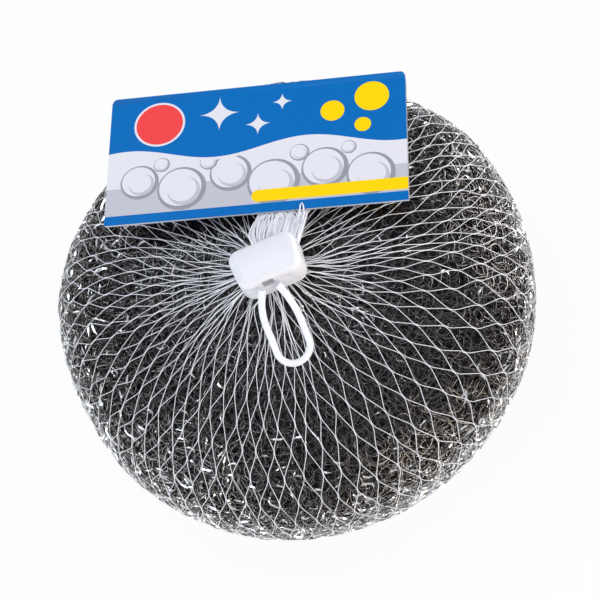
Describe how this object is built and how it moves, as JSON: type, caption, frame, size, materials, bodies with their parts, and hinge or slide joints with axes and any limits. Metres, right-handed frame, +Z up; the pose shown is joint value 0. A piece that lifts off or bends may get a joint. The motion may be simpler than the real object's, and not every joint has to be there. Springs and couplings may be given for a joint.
{
  "type": "pot scrubber",
  "caption": "Flattened ball of knitted flat wire for scouring pots, packed in a white net bag whose neck is held by a moulded clip with a hang loop and a folded header card.",
  "frame": {"origin": "centre of the flat face that the ball rests on, at the foot of the net's bottom weld", "axes": "+Z up along the axis of the ball and of the net's neck, -Y the side that the hang loop points to, +Y the side that the header card lies on, +X to the right seen from the loop's side"},
  "size_m": [0.1326, 0.1326, 0.0774],
  "materials": {
    "knitted_wire": "sleeve knitted from flat galvanised steel wire, bright rolled faces, grey in its depth",
    "tie": "flat galvanised steel wire",
    "net_fibre": "extruded white polyethylene net, satin, slightly translucent",
    "clip_plastic": "injection moulded natural white polyethylene, semi-gloss",
    "loop_plastic": "injection moulded natural white polyethylene, semi-gloss",
    "card": "gloss coated board, printed on its outside faces",
    "glue": "hot-melt glue"
  },
  "bodies": {
    "scrubber": {"net_bag": "net_fibre", "bottom_weld": "net_fibre", "sleeve_outer_turn": "knitted_wire", "sleeve_middle_turn": "knitted_wire", "sleeve_inner_turn": "knitted_wire", "sleeve_core": "knitted_wire", "centre_gather": "knitted_wire", "tie_wire": "tie"},
    "clip": {"clip_housing": "clip_plastic", "net_neck": "net_fibre", "lock_wedge": "clip_plastic"},
    "loop": {"hang_loop": "loop_plastic"},
    "header": {"header_card": "card", "net_tail": "net_fibre", "glue_strip": "glue"}
  },
  "joints": [
    {"name": "neck_twist", "type": "hinge", "parent": "scrubber", "child": "clip", "pos_m": [0, 0, 0.0663], "axis": [0, 0, 1], "range_deg": [-60, 60]},
    {"name": "loop_swing", "type": "hinge", "parent": "clip", "child": "loop", "pos_m": [-0.00129, -0.00763, 0.07524], "axis": [-0.999, 0.0436, 0], "range_deg": [0, 95]},
    {"name": "card_flap", "type": "hinge", "parent": "clip", "child": "header", "pos_m": [0.00511, 0.00598, 0.07107], "axis": [0.932, -0.3624, 0], "range_deg": [0, 65]}
  ]
}
